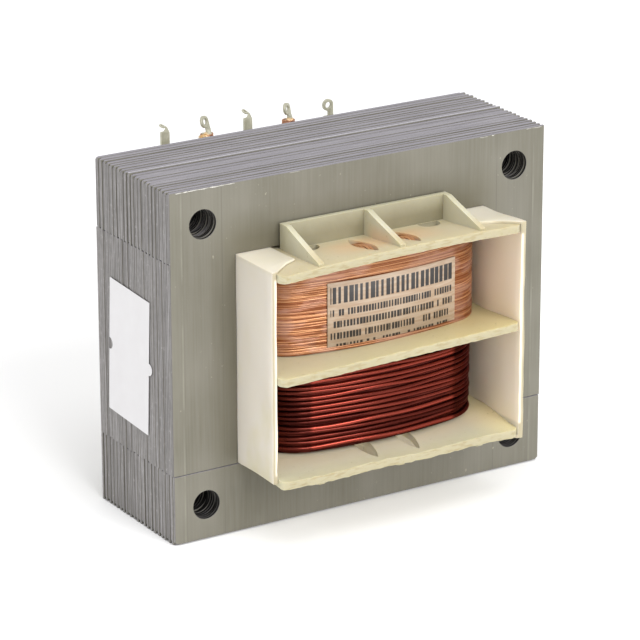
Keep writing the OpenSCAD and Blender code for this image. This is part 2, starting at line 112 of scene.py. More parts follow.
# ---- material graphs ----

class Graph:
    """A material's node graph, with one short call for each kind of node."""

    def __init__(self, name):
        self.material = bpy.data.materials.new(name)
        self.material.use_nodes = True
        self.tree = self.material.node_tree
        self.shader = self.tree.nodes["Principled BSDF"]
        self.position = self.node("TexCoord").outputs["Object"]
        self.x, self.y, self.z = self.axes(self.position)

    def put(self, socket, value):
        """Gives a socket its value: a link from another node's output, or a constant."""
        if isinstance(value, bpy.types.NodeSocket):
            self.tree.links.new(value, socket)
        else:
            socket.default_value = value

    def node(self, kind, inputs=None, **settings):
        """A new node, with its inputs by name or number and its settings."""
        made = self.tree.nodes.new("ShaderNode" + kind)
        for key, value in settings.items():
            setattr(made, key, value)
        for key, value in (inputs or {}).items():
            self.put(made.inputs[key], value)
        return made

    def math(self, operation, a, b=0.0):
        return self.node("Math", {0: a, 1: b}, operation=operation).outputs[0]

    def times(self, *values):
        product = values[0]
        for value in values[1:]:
            product = self.math("MULTIPLY", product, value)
        return product

    def highest(self, *values):
        top = values[0]
        for value in values[1:]:
            top = self.math("MAXIMUM", top, value)
        return top

    def absolute(self, value):
        return self.math("ABSOLUTE", value)

    def axes(self, vector):
        """The X, Y and Z of a place in metres, each in millimetres."""
        scaled = self.node("VectorMath", {0: vector, 3: 1 / MM}, operation="SCALE").outputs[0]
        return self.node("SeparateXYZ", {0: scaled}).outputs

    def facing(self, axis):
        """How much the surface faces along an axis, forwards or backwards, from 0 to 1."""
        parts = self.node("SeparateXYZ", {0: self.node("NewGeometry").outputs["Normal"]}).outputs
        return self.absolute(parts[axis])

    def span(self, value, low, high, out_low=0.0, out_high=1.0):
        """value mapped from low..high to out_low..out_high, and held inside it."""
        sockets = {"Value": value, "From Min": low, "From Max": high, "To Min": out_low, "To Max": out_high}
        return self.node("MapRange", sockets).outputs[0]

    def mix(self, share, a, b):
        """a where share is 0 and b where it is 1."""
        return self.node("Mix", {0: share, 6: a, 7: b}, data_type="RGBA").outputs[2]

    def noise(self, per_mm, stretch=(1, 1, 1), detail=3.0, shift=0.0):
        """Noise with about per_mm features a millimetre, drawn out along an axis whose stretch is small."""
        scale = [s * per_mm / MM for s in stretch]
        sockets = {"Vector": self.position, "Scale": scale, "Location": (shift, shift, shift)}
        moved = self.node("Mapping", sockets)
        sockets = {"Vector": moved.outputs[0], "Scale": 1.0, "Detail": detail}
        return self.node("TexNoise", sockets).outputs["Fac"]

    def chance(self, number):
        """A random value from 0 to 1 that belongs to a whole number."""
        return self.node("TexWhiteNoise", {"W": number}, noise_dimensions="1D").outputs["Value"]

    def line(self, value, at, half_width):
        """1 where value is at the place, falling to 0 at half_width from it."""
        return self.span(self.absolute(self.math("SUBTRACT", value, at)), 0.0, half_width, 1.0, 0.0)

    def between(self, value, low, high, soft):
        """1 where value lies between low and high, with edges of the given softness."""
        return self.times(self.span(value, low, low + soft), self.span(value, high - soft, high, 1.0, 0.0))

    def tone(self):
        """The tone that was given to a sheet or a turn of wire when its mesh was made."""
        return self.node("Attribute", attribute_name="tone").outputs["Fac"]

    def bump(self, height, strength, depth):
        bump = self.node("Bump", {"Height": height, "Strength": strength, "Distance": depth * MM})
        self.put(self.shader.inputs["Normal"], bump.outputs[0])

    def finish(self, **sockets):
        """Sets the shader's inputs by name, with _ for a space, and returns the material."""
        for key, value in sockets.items():
            self.put(self.shader.inputs[key.replace("_", " ")], value)
        return self.material


def rgb(r, g, b):
    """A display colour of 0 to 255 as the linear colour that a shader takes."""
    linear = [((c / 255 + 0.055) / 1.055) ** 2.4 if c > 10 else c / 255 / 12.92 for c in (r, g, b)]
    return (*linear, 1.0)


# ---- materials ----

def place_in_sheets(g, sheets):
    """How far a point lies through its group of sheets, from 0 at the group's front to 1 at its back."""
    from_front = g.math("ADD", g.y, HALF_STACK)
    return g.math("FRACT", g.math("DIVIDE", from_front, sheets * PITCH))


def steel_face(g, across, grain):
    """The colour of a sheet's broad side: upright grain, smears, a few drawn lines, pale specks, and
    painted shade and reflection round the bobbin.
    """
    clouds = g.noise(0.07, (1, 1, 0.6), 4.0)
    smears = g.noise(0.35, (1, 1, 0.35), 4.0, 11.0)
    face = g.mix(g.span(clouds, 0.35, 0.65), rgb(100, 97, 84), rgb(117, 114, 103))
    face = g.mix(g.span(grain, 0.3, 0.75, 0.0, 0.25), face, rgb(140, 137, 128))
    face = g.mix(g.span(smears, 0.55, 0.75, 0.0, 0.35), face, rgb(112, 109, 98))
    # Painted shade and a painted greenish reflection of the bobbin darken the face round the window.
    bobbin_shade_and_reflection = g.times(g.span(across, 21.0, 27.0, 1.0, 0.0), g.between(g.z, 8.0, 51.0, 5.0))
    face = g.mix(g.times(bobbin_shade_and_reflection, 0.6), face, rgb(94, 89, 70))
    outer_rim = g.span(g.math("ADD", across, g.times(smears, 3.0)), 32.5, 34.2)
    face = g.mix(g.times(outer_rim, 0.05), face, rgb(150, 149, 132))
    drawn_lines = (
        # distance from the middle, half width, where it is broken, strength, colour
        (24.2, 0.14, g.span(grain, 0.3, 0.6), 0.45, rgb(76, 74, 66)),
        (31.0, 0.2, g.span(smears, 0.4, 0.6), 0.3, rgb(162, 160, 146)),
        (30.7, 0.14, g.span(smears, 0.35, 0.6), 0.3, rgb(88, 87, 78)),
    )
    for at, half_width, broken, strength, shade in drawn_lines:
        face = g.mix(g.times(g.line(across, at, half_width), broken, strength), face, shade)
    specks = g.span(g.noise(1.7, (1, 1, 0.7), 2.0, 5.0), 0.69, 0.74)
    scuffed = g.span(g.noise(0.12, detail=2.0, shift=9.0), 0.48, 0.62)
    return g.mix(g.times(specks, scuffed, 0.35), face, rgb(196, 190, 170))


def steel_edge(g, streaks, in_sheet):
    """The colour of the stack's top and sides: cut edges, each of its own tone, with gaps between them,
    painted light on the top and a painted highlight on the proud sheet.
    """
    edge = g.mix(g.tone(), rgb(104, 101, 98), rgb(131, 128, 126))
    edge = g.mix(g.span(streaks, 0.4, 0.7, 0.0, 0.5), edge, rgb(94, 91, 90))
    edge = g.mix(g.times(g.span(streaks, 0.36, 0.3), 0.4), edge, rgb(168, 165, 164))
    bright_band = g.times(g.span(in_sheet, 0.5, 0.6), g.span(in_sheet, 0.8, 0.88, 1.0, 0.0))
    edge = g.mix(g.times(bright_band, 0.35), edge, rgb(172, 169, 170))

    on_top = g.facing(Z)
    # Painted light: the top is painted a paler violet than the sides.
    edge = g.mix(g.times(on_top, 0.5), edge, rgb(148, 144, 158))
    side_scratches = g.noise(1.0, (4.0, 4.0, 0.15), 2.0)
    top_scratches = g.noise(1.0, (0.12, 5.0, 5.0), 2.0, 3.0)
    scratches = g.mix(on_top, side_scratches, top_scratches)
    edge = g.mix(g.span(scratches, 0.54, 0.7, 0.0, 0.4), edge, rgb(84, 81, 84))
    edge = g.mix(g.span(scratches, 0.44, 0.3, 0.0, 0.35), edge, rgb(184, 181, 184))
    is_proud = g.span(g.tone(), 1.2, 1.8)
    # Painted highlight along the top edge of the sheet that stands proud.
    proud_sheet_highlight = g.times(is_proud, on_top, g.between(in_sheet, 0.52, 0.86, 0.08))
    edge = g.mix(proud_sheet_highlight, edge, rgb(214, 212, 218))

    in_pair = place_in_sheets(g, 2)
    edge = g.mix(g.span(in_pair, 0.91, 0.95, 0.0, 0.95), edge, rgb(26, 24, 25))
    return g.mix(g.times(g.between(in_pair, 0.42, 0.5, 0.03), 0.5), edge, rgb(34, 31, 32))


def steel_bore(g, in_sheet):
    """The colour inside a fixing hole: nearly black painted shade, with bright lines of painted highlight
    where cut sheets catch the light, faint in the lower holes.
    """
    caught = g.between(in_sheet, 0.66, 0.84, 0.05)
    uneven = g.span(g.tone(), 0.3, 0.6, 0.3, 1.0)
    upper_holes = g.span(g.z, 20.0, 30.0, 0.12, 1.0)
    return g.mix(g.times(caught, uneven, upper_holes), rgb(13, 12, 11), rgb(190, 184, 174))


def sheet_steel():
    """Rolled silicon steel: greenish grey faces, violet-grey cut edges and fixing holes dark with painted
    shade.
    """
    g = Graph("sheet_steel")
    across = g.absolute(g.x)
    on_face = g.span(g.facing(Y), 0.6, 0.9)
    grain = g.noise(3.0, (1, 1, 0.03), 3.0)
    streaks = g.noise(0.9, (0.25, 1.6, 1.4), 4.0, 7.0)
    in_sheet = place_in_sheets(g, 1)

    hole_x = g.math("SUBTRACT", across, CORE_W / 2 - HOLE_INSET)
    from_middle = g.absolute(g.math("SUBTRACT", g.z, MIDDLE_Z))
    hole_z = g.math("SUBTRACT", from_middle, MIDDLE_Z - HOLE_INSET)
    from_hole = g.math("SQRT", g.math("ADD", g.times(hole_x, hole_x), g.times(hole_z, hole_z)))
    near_hole = g.span(from_hole, HOLE_R + 0.15, HOLE_R + 0.25, 1.0, 0.0)
    in_hole = g.times(near_hole, g.span(on_face, 0.2, 0.6, 1.0, 0.0))

    sheet = g.mix(on_face, steel_edge(g, streaks, in_sheet), steel_face(g, across, grain))
    colour = g.mix(in_hole, sheet, steel_bore(g, in_sheet))
    rough = g.span(grain, 0.2, 0.8, 0.4, 0.55)
    g.bump(g.math("ADD", g.times(grain, 0.3), g.times(streaks, 0.7)), 0.25, 0.04)
    return g.finish(Base_Color=colour, Metallic=0.25, Roughness=rough)


def nylon():
    """Cream nylon with a waxy look, yellower where it is thick, with a painted glow where copper shows
    through, and painted shade, light and reflection in places.
    """
    g = Graph("bobbin_nylon")
    clouds = g.noise(0.12, detail=3.0)
    depth = g.absolute(g.y)
    facing_front = g.facing(Y)
    facing_up = g.facing(Z)
    on_top_flange = g.span(g.z, TOP_FLANGE_Z - 2, TOP_FLANGE_Z)

    outward = g.span(depth, 19.5, FLANGE_Y)
    colour = g.mix(clouds, rgb(186, 182, 158), rgb(198, 194, 173))
    colour = g.mix(g.times(outward, 0.5), colour, rgb(192, 186, 146))
    # Painted shade on the flanges' outer edges that face forwards and back.
    colour = g.mix(g.times(outward, facing_front, 0.6), colour, rgb(148, 137, 110))

    forwards = g.math("MULTIPLY", g.y, -1.0)
    to_slot = g.absolute(g.math("SUBTRACT", g.absolute(g.x), LUG_PITCH / 2 + 0.2))
    # A painted glow of the copper that shows through the thin nylon beside the lead slots.
    copper_glow = g.times(
        g.span(to_slot, 7.0, 1.0),
        g.between(forwards, 12.5, 21.5, 2.5),
        g.between(g.z, TOP_FLANGE_Z - 2.0, TOP_FLANGE_Z + 2.5, 1.5),
        g.span(clouds, 0.2, 0.5),
    )
    colour = g.mix(g.times(copper_glow, 0.75), colour, rgb(214, 166, 124))

    on_middle = g.times(facing_up, g.between(g.z, MIDDLE_Z - 3.0, MIDDLE_Z + 3.0, 1.0))
    yellowed = g.span(g.x, -12.0, 16.0, 0.2, 0.6)
    colour = g.mix(g.times(on_middle, yellowed), colour, rgb(205, 186, 122))
    # Painted light: the bottom flange's upper face is painted brighter and yellower towards its right end.
    on_bottom = g.times(facing_up, g.span(g.z, BOTTOM_FLANGE_Z + 3.0, BOTTOM_FLANGE_Z + 2.0))
    right_end = g.span(g.x, 14.0, 20.0)
    colour = g.mix(g.times(on_bottom, right_end, 0.7), colour, rgb(219, 206, 154))
    # Painted shade with a painted copper glow on the top flange's upper faces.
    on_top = g.times(facing_up, g.between(g.z, TOP_FLANGE_Z - 2.0, TOP_FLANGE_Z + 2.5, 1.0))
    colour = g.mix(g.times(on_top, 0.4), colour, rgb(186, 162, 118))

    # Painted shade on the top flange's floor near the core.
    shade_near_core = g.times(g.span(depth, 16.5, 12.4), on_top_flange)
    colour = g.mix(g.times(shade_near_core, 0.4), colour, rgb(150, 144, 112))
    # Darker painted shade on the barrier wall that faces forwards, deepest low down.
    barrier_shade = g.times(
        g.span(depth, 12.9, 12.5),
        on_top_flange,
        g.span(facing_front, 0.3, 0.8),
        g.span(g.z, TOP_FLANGE_Z + 4.0, TOP_FLANGE_Z + 1.5, 0.6, 1.0),
        g.span(clouds, 0.3, 0.6, 0.75, 1.0),
    )
    colour = g.mix(g.times(barrier_shade, 0.85), colour, rgb(112, 105, 80))
    # Painted shade with a reddish painted reflection of the secondary on the flange beside it.
    coil_shade_and_reflection = g.times(g.span(depth, 21.0, 17.5), g.span(g.z, LOWER_COIL_Z + 0.4, LOWER_COIL_Z - 0.2))
    colour = g.mix(g.times(coil_shade_and_reflection, 0.2), colour, rgb(186, 138, 100))

    dirt = g.span(g.noise(1.1, (0.5, 1, 2.2), 4.0, 8.0), 0.5, 0.64)
    colour = g.mix(g.times(dirt, outward, facing_front, 0.5), colour, rgb(146, 130, 88))
    pits = g.span(g.noise(1.9, detail=2.0, shift=3.0), 0.68, 0.76)
    colour = g.mix(g.times(pits, 0.45), colour, rgb(140, 128, 84))
    g.bump(g.noise(0.8, detail=5.0), 0.35, 0.12)
    return g.finish(
        Base_Color=colour, Roughness=0.4, IOR=1.5,
        Subsurface_Weight=0.35, Subsurface_Radius=(1.0, 0.9, 0.5), Subsurface_Scale=0.9 * MM,
    )


def cover_plastic():
    """Warm white plastic, yellower low down and towards its rims, with painted shade on its front and back
    edges and painted light on its inner side.
    """
    g = Graph("cover_plastic")
    clouds = g.noise(0.1, detail=4.0)
    depth = g.absolute(g.y)
    colour = g.mix(clouds, rgb(211, 203, 189), rgb(219, 213, 202))
    stains = g.span(g.noise(0.16, (1, 1, 0.5), 3.0, 4.0), 0.45, 0.65)
    low_down = g.span(g.z, 32.0, 14.0, 0.15, 0.6)
    colour = g.mix(g.times(stains, low_down), colour, rgb(206, 199, 158))
    rim = g.highest(
        g.span(depth, COVER_Y - 0.9, COVER_Y - 0.2),
        g.span(g.z, COVER_HIGH.z - 0.9, COVER_HIGH.z + 0.4),
        g.span(g.z, COVER_LOW.z + 1.2, COVER_LOW.z - 0.4),
    )
    colour = g.mix(g.times(rim, 0.4), colour, rgb(204, 196, 166))
    # Painted shade on the cover's edges that face forwards and back.
    front_edge_shade = g.times(g.span(g.facing(Y), 0.3, 0.9), g.span(depth, COVER_Y - 3.0, COVER_Y - 2.0))
    colour = g.mix(g.times(front_edge_shade, 0.8), colour, rgb(157, 146, 115))
    # Painted light: the inner side is painted paler and creamier.
    lit_inner_side = g.times(
        g.span(g.absolute(g.x), COVER_HIGH.x - 0.3, COVER_HIGH.x - 0.6),
        g.span(g.z, COVER_LOW.z + 1.0, COVER_LOW.z + 1.4),
        g.span(g.z, COVER_HIGH.z - 1.4, COVER_HIGH.z - 1.0, 1.0, 0.0),
    )
    colour = g.mix(g.times(lit_inner_side, 0.8), colour, rgb(244, 232, 212))
    g.bump(g.noise(0.5, detail=4.0), 0.25, 0.12)
    return g.finish(
        Base_Color=colour, Roughness=0.42,
        Subsurface_Weight=0.2, Subsurface_Radius=(1.0, 0.8, 0.5), Subsurface_Scale=0.7 * MM,
    )


def copper_wire(name, low, high, light, tint, patch_size, metallic, rough, end_shade):
    """Enamelled copper wire. Each turn has its own tone; painted shade darkens all at the coil's left and
    right, and patches of painted reflection lie over them.
    """
    g = Graph(name)
    patches = g.noise(patch_size, (1, 1, 2.5), 3.0)
    colour = g.mix(g.tone(), low, high)
    # Painted shade where the turns bend away at the coil's left and right.
    ends = g.span(g.absolute(g.x), 12.3, 13.0)
    colour = g.mix(g.times(ends, end_shade), colour, low)
    # Patches of painted reflection, in the light colour.
    colour = g.mix(g.span(patches, 0.46, 0.6, 0.0, 0.45), colour, light)
    return g.finish(
        Base_Color=colour, Metallic=metallic, Roughness=rough, Specular_Tint=tint,
        Coat_Weight=0.05, Coat_Roughness=0.12,
    )


def tinned():
    """Dull tin over brass."""
    g = Graph("tinned_lug")
    patches = g.noise(1.1, detail=3.0)
    colour = g.mix(patches, rgb(146, 144, 122), rgb(198, 196, 180))
    g.bump(g.noise(2.5, detail=2.0), 0.3, 0.05)
    return g.finish(Base_Color=colour, Metallic=0.35, Roughness=0.42)


def flux():
    """Amber flux and solder over the wire turns."""
    g = Graph("solder_flux")
    patches = g.noise(1.6, detail=3.0)
    colour = g.mix(g.span(patches, 0.4, 0.6), rgb(184, 142, 84), rgb(210, 188, 152))
    g.bump(g.noise(2.0, detail=2.0), 0.4, 0.08)
    return g.finish(Base_Color=colour, Metallic=0.2, Roughness=0.25, Coat_Weight=0.5, Coat_Roughness=0.1)


def burr_steel():
    """Bright freshly torn steel."""
    g = Graph("burr_steel")
    colour = g.mix(g.noise(1.5, detail=3.0), rgb(140, 138, 132), rgb(186, 184, 178))
    return g.finish(Base_Color=colour, Metallic=0.5, Roughness=0.35)


def printed_row(g, low, high, cell, filled, seed):
    """A row of plain bars of uneven width. A share of its cells is filled, and the others are gaps."""
    along = g.math("DIVIDE", g.math("ADD", g.x, seed * 7.3), cell)
    number = g.math("FLOOR", along)
    place = g.math("FRACT", along)
    printed = g.span(g.chance(g.math("ADD", number, seed * 31.0)), filled, filled - 0.01)
    width = g.span(g.chance(g.math("ADD", number, seed * 57.0)), 0.0, 1.0, 0.55, 0.96)
    past_end = g.math("SUBTRACT", place, width)
    bar = g.times(g.span(place, 0.02, 0.08), g.span(past_end, -0.06, 0.0, 1.0, 0.0))
    return g.times(g.between(g.z, low, high, 0.12), bar, printed)


def label_film():
    """A thin film that lets the copper tint show, with rows of plain black bars."""
    g = Graph("label_film")
    colour = g.mix(g.noise(0.35, (1, 1, 3), 3.0), rgb(152, 123, 96), rgb(166, 148, 127))
    wire_lines = g.noise(2.4, (0.04, 1, 1), 2.0)
    colour = g.mix(g.span(wire_lines, 0.42, 0.6, 0.0, 0.45), colour, rgb(182, 166, 149))
    rows = (
        # lower and upper edge above the label's foot, width of a cell, share of cells filled
        (6.6, 9.3, 0.9, 0.92),
        (4.65, 5.8, 0.5, 0.9),
        (2.85, 4.0, 0.54, 0.88),
        (1.05, 2.2, 0.52, 0.9),
        (-0.2, 0.45, 0.56, 0.7),
    )
    ink = g.highest(*(
        printed_row(g, LABEL_LOW.z + low, LABEL_LOW.z + high, cell, filled, seed)
        for seed, (low, high, cell, filled) in enumerate(rows, 1)
    ))
    within = g.between(g.x, LABEL_LOW.x + 0.4, LABEL_HIGH.x - 0.6, 0.1)
    colour = g.mix(g.times(ink, within, 0.97), colour, rgb(20, 19, 22))
    return g.finish(Base_Color=colour, Roughness=0.5)


def sticker_paper():
    """Smooth white paper with a faint tooth."""
    g = Graph("sticker_paper")
    colour = g.mix(g.noise(0.3, detail=3.0), rgb(208, 206, 207), rgb(216, 215, 216))
    g.bump(g.noise(6.0, detail=2.0), 0.08, 0.02)
    return g.finish(Base_Color=colour, Roughness=0.6)


def floor_surface():
    """The studio's white floor."""
    g = Graph("pale_floor")
    colour = g.mix(g.noise(0.002, detail=2.0), rgb(244, 244, 244), rgb(246, 246, 246))
    return g.finish(Base_Color=colour, Roughness=0.9)


STEEL = sheet_steel()
NYLON = nylon()
COVER = cover_plastic()
# Each wire's light colour is that of its painted reflection patches.
FINE_WIRE = copper_wire(
    "primary_copper", low=rgb(128, 72, 42), high=rgb(201, 148, 106), light=rgb(186, 148, 132),
    tint=(1.0, 0.8, 0.6, 1.0), patch_size=0.2, metallic=0.5, rough=0.32, end_shade=0.15,
)
RED_WIRE = copper_wire(
    "secondary_copper", low=rgb(50, 12, 8), high=rgb(146, 62, 50), light=rgb(116, 50, 40),
    tint=(0.75, 0.3, 0.24, 1.0), patch_size=0.1, metallic=0.85, rough=0.22, end_shade=0.85,
)
TINNED = tinned()
FLUX = flux()
FILM = label_film()
BURR = burr_steel()
PAPER = sticker_paper()


# ---- mesh helpers; points are in millimetres ----

def link(made):
    """Puts a new object into the scene."""
    bpy.context.scene.collection.objects.link(made)
    return made


def mesh_object(name, verts, faces, material, tones=None, smooth_angle=40.0):
    """A new object from points and faces, with an optional tone for each point."""
    mesh = bpy.data.meshes.new(name)
    mesh.from_pydata([[c * MM for c in v] for v in verts], [], faces)
    mesh.materials.append(material)
    if tones is not None:
        mesh.attributes.new("tone", "FLOAT", "POINT").data.foreach_set("value", tones)
    mesh.shade_smooth()
    mesh.set_sharp_from_angle(angle=math.radians(smooth_angle))
    return link(bpy.data.objects.new(name, mesh))


def settle(piece, slot, *nodes):
    """The piece rides on the body and may stand for CAD nodes. slot is not used."""
    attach(piece, "root")
    if nodes:
        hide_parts(*nodes)


class Parts:
    """Points, faces and tones gathered for one mesh."""

    def __init__(self):
        self.verts, self.faces, self.tones = [], [], []

    def add(self, verts, faces, tone):
        """Adds a shape. tone is one value, or a list with a value for each point."""
        start = len(self.verts)
        self.verts += [tuple(v) for v in verts]
        self.faces += [[start + i for i in face] for face in faces]
        self.tones += tone if isinstance(tone, list) else [tone] * len(verts)

    def build(self, name, material, smooth_angle):
        return mesh_object(name, self.verts, self.faces, material, self.tones, smooth_angle)


def ease_in(value, low, high):
    """0 below low, 1 above high, and smooth between them."""
    t = min(max((value - low) / (high - low), 0.0), 1.0)
    return t * t * (3 - 2 * t)


def steps(low, high, pitch):
    """Places that divide low..high into parts of about one pitch."""
    count = max(1, round((high - low) / pitch))
    return [low + (high - low) * i / count for i in range(1, count)]


def inwards(value, amount):
    """The change that brings value nearer to 0 by amount."""
    return -math.copysign(amount, value)


# ---- the core ----

SHEET_SHAPE_T = PITCH - 0.02  # a thin gap stays between the drawn sheets
SHEET_EASE = 0.05
PLAY = 0.12  # room for the sheets' play inside the stack's outer size
SHIFT = 0.06  # how far a sheet may lie out of line
HOLE_SLIP = 0.16  # how far its holes may lie out of line
PROUD_LAYER = 22  # the one sheet that stands up out of the stack's top

# Each kind of sheet, and whether its E stands with its yoke on top: piece, CAD node and material slot.
SHEET_PIECES = {
    ("e", True): ("e_up_sheets", "e_laminations_yoke_up", "steel_sheet"),
    ("i", True): ("i_bottom_sheets", "i_laminations_bottom", "steel_sheet"),
    ("e", False): ("e_down_sheets", "e_laminations_yoke_down", "steel_sheet_edges"),
    ("i", False): ("i_top_sheets", "i_laminations_top", "steel_sheet_edges"),
}

# Where each burr on the front sheet's top edge starts and ends along X, and its size.
BURRS = ((-31.8, -21.6, 0.19), (-13.0, -9.0, 0.1), (20.5, 23.5, 0.14), (29.6, 32.4, 0.19))


def stamping(outline, holes):
    """Points and faces of a flat sheet with eased edges. The outline and the holes lie in X and Z."""
    curve = bpy.data.curves.new("stamping", "CURVE")
    curve.dimensions = "2D"
    curve.fill_mode = "BOTH"
    curve.extrude = SHEET_SHAPE_T / 2 - SHEET_EASE
    curve.bevel_depth = SHEET_EASE
    curve.bevel_resolution = 0
    curve.offset = -SHEET_EASE
    for points in [outline] + holes:
        spline = curve.splines.new("POLY")
        spline.points.add(len(points) - 1)
        for point, (px, pz) in zip(spline.points, points):
            point.co = (px, pz, 0, 1)
        spline.use_cyclic_u = True
    holder = link(bpy.data.objects.new("stamping", curve))
    made = bpy.data.meshes.new_from_object(holder.evaluated_get(bpy.context.evaluated_depsgraph_get()))
    verts = [Vector((v.co.x, -v.co.z, v.co.y)) for v in made.vertices]
    faces = [list(p.vertices) for p in made.polygons]
    bpy.data.objects.remove(holder)
    bpy.data.curves.remove(curve)
    bpy.data.meshes.remove(made)
    return verts, faces


def fixing_holes(z):
    """The outlines of the left and the right fixing hole at a height."""
    count = 32
    angles = [2 * math.pi * i / count for i in range(count)]
    outlines = []
    for x in (HOLE_INSET - CORE_W / 2, CORE_W / 2 - HOLE_INSET):
        outlines.append([(x + HOLE_R * math.cos(a), z + HOLE_R * math.sin(a)) for a in angles])
    return outlines


def e_stamping():
    """An E with its yoke on top and its legs' ends at Z = UNIT."""
    half = CORE_W / 2
    outline = [(-half, UNIT), (-half, CORE_H), (half, CORE_H), (half, UNIT)]
    for x in (half - UNIT, -UNIT):
        outline += [(x, UNIT), (x, CORE_H - UNIT), (x - UNIT, CORE_H - UNIT), (x - UNIT, UNIT)]
    return stamping(outline, fixing_holes(CORE_H - HOLE_INSET))


def i_stamping():
    """The I below it, a little smaller all round, with its outer corners cut off."""
    narrower, corner, gap = 0.09, 0.45, 0.11
    half = CORE_W / 2 - narrower
    outline = [
        (-half + corner, gap), (half - corner, gap), (half, corner),
        (half, UNIT - gap), (-half, UNIT - gap), (-half, corner),
    ]
    return stamping(outline, fixing_holes(HOLE_INSET))


def near_hole(v):
    """Whether a point of a sheet lies on the edge of one of its fixing holes."""
    across = abs(v.x) - (CORE_W / 2 - HOLE_INSET)
    up = abs(v.z - MIDDLE_Z) - (MIDDLE_Z - HOLE_INSET)
    return math.hypot(across, up) < HOLE_R + 0.1


def core():
    """The interleaved stack, sheet by sheet, each a little out of line with its neighbours."""
    stampings = {"e": e_stamping(), "i": i_stamping()}
    pieces = {key: Parts() for key in SHEET_PIECES}
    shrink = 1 - 2 * PLAY / CORE_W
    for layer in range(LAYERS):
        upright = layer % 2 == 0
        y = -HALF_STACK + (layer + 0.5) * PITCH
        for kind, (verts, faces) in stampings.items():
            dx = random.uniform(-SHIFT, SHIFT)
            dz = random.uniform(-SHIFT, 0.05)
            tone = random.random()
            if layer == 0:
                dx, dz, slip = 0.0, 0.03, Vector()
            else:
                slip_x, slip_z = (random.uniform(-HOLE_SLIP, HOLE_SLIP) for _ in range(2))
                slip = Vector((slip_x, 0, slip_z))
            if layer == PROUD_LAYER and kind == "e":
                dz, tone = PLAY - 0.01, 2.0
            moved = []
            for v in verts:
                place = v + slip if near_hole(v) else v
                z = (place.z - MIDDLE_Z) * shrink
                moved.append((place.x * shrink + dx, place.y + y, MIDDLE_Z + (z if upright else -z) + dz))
            turned = faces if upright else [list(reversed(face)) for face in faces]
            pieces[kind, upright].add(moved, turned, tone)
    for key, (name, node, slot) in SHEET_PIECES.items():
        settle(pieces[key].build(name, STEEL, smooth_angle=30), slot, node)


def burrs():
    """Thin bright burrs along the front sheet's top edge, torn up when it was stamped."""
    parts = Parts()
    front = -HALF_STACK + 0.03
    for start, end, size in BURRS:
        count = max(3, round((end - start) / 0.5))
        path, sizes = [], []
        for i in range(count + 1):
            x = start + (end - start) * i / count
            swell = abs(noise.noise(Vector((x * 1.3, 4.0, size))))
            wander = 0.15 * noise.noise(Vector((x * 0.9, 1.0, 0.0)))
            path.append(Vector((x, front + wander, CORE_H - 0.2 - abs(wander))))
            sizes.append(size * (0.2 + 0.8 * swell))
        sweep(parts, path, sizes, sides=5, tone=1.0)
    settle(parts.build("edge_burrs", BURR, smooth_angle=60), "steel_sheet_edges")


# ---- wires ----

def sweep(parts, points, radius, sides, tone):
    """A round wire along points, kept from twisting. radius and tone may be lists with a value a point."""
    side_dir = None
    ring_verts, ring_tones = [], []
    for i, point in enumerate(points):
        ahead = points[min(i + 1, len(points) - 1)] - points[max(i - 1, 0)]
        ahead.normalize()
        if side_dir is None:
            side_dir = ahead.orthogonal().normalized()
        side_dir = (side_dir - ahead * side_dir.dot(ahead)).normalized()
        other_dir = ahead.cross(side_dir)
        r = radius[i] if isinstance(radius, list) else radius
        for k in range(sides):
            a = 2 * math.pi * k / sides
            ring_verts.append(point + r * (math.cos(a) * side_dir + math.sin(a) * other_dir))
            ring_tones.append(tone[i] if isinstance(tone, list) else tone)
    faces = []
    for i in range(len(points) - 1):
        for k in range(sides):
            a, b = i * sides + k, i * sides + (k + 1) % sides
            faces.append([a, b, b + sides, a + sides])
    last = (len(points) - 1) * sides
    faces.append(list(reversed(range(sides))))
    faces.append([last + k for k in range(sides)])
    parts.add(ring_verts, faces, ring_tones)


def smooth_path(points, count):
    """A smooth curve through the points, with count parts between neighbours."""
    path = []
    for i in range(len(points) - 1):
        p0, p1 = points[max(i - 1, 0)], points[i]
        p2, p3 = points[i + 1], points[min(i + 2, len(points) - 1)]
        for k in range(count):
            t = k / count
            path.append(0.5 * ((2 * p1) + (p2 - p0) * t + (2 * p0 - 5 * p1 + 4 * p2 - p3) * t * t
                               + (3 * p1 - p0 - 3 * p2 + p3) * t ** 3))
    return path + [points[-1]]


def coil_outline(half_x, half_y, corner, crown):
    """Points and outward directions round a winding, clockwise from above, from the middle of its back."""
    per_crown, per_corner, per_side = 14, 10, 5
    cx = half_x - corner
    cy = half_y - crown + math.sqrt((crown - corner) ** 2 - cx ** 2)
    tilt = math.asin(cx / (crown - corner))
    quarter = []
    for i in range(per_crown):
        a = tilt * i / per_crown
        out = (math.sin(a), math.cos(a))
        quarter.append(((crown * out[0], half_y - crown + crown * out[1]), out))
    for i in range(per_corner + 1):
        a = tilt + (math.pi / 2 - tilt) * i / per_corner
        out = (math.sin(a), math.cos(a))
        quarter.append(((cx + corner * out[0], cy + corner * out[1]), out))
    for i in range(1, per_side):
        quarter.append(((half_x, cy * (1 - i / per_side)), (1.0, 0.0)))

    def turned(items, sx, sy):
        return [((p[0] * sx, p[1] * sy), (n[0] * sx, n[1] * sy)) for p, n in items]

    back_again = list(reversed(quarter[1:]))
    right_back = quarter + [((half_x, 0.0), (1.0, 0.0))]
    left_front = turned(quarter, -1, -1) + [((-half_x, 0.0), (-1.0, 0.0))]
    return right_back + turned(back_again, 1, -1) + left_front + turned(back_again, -1, 1)


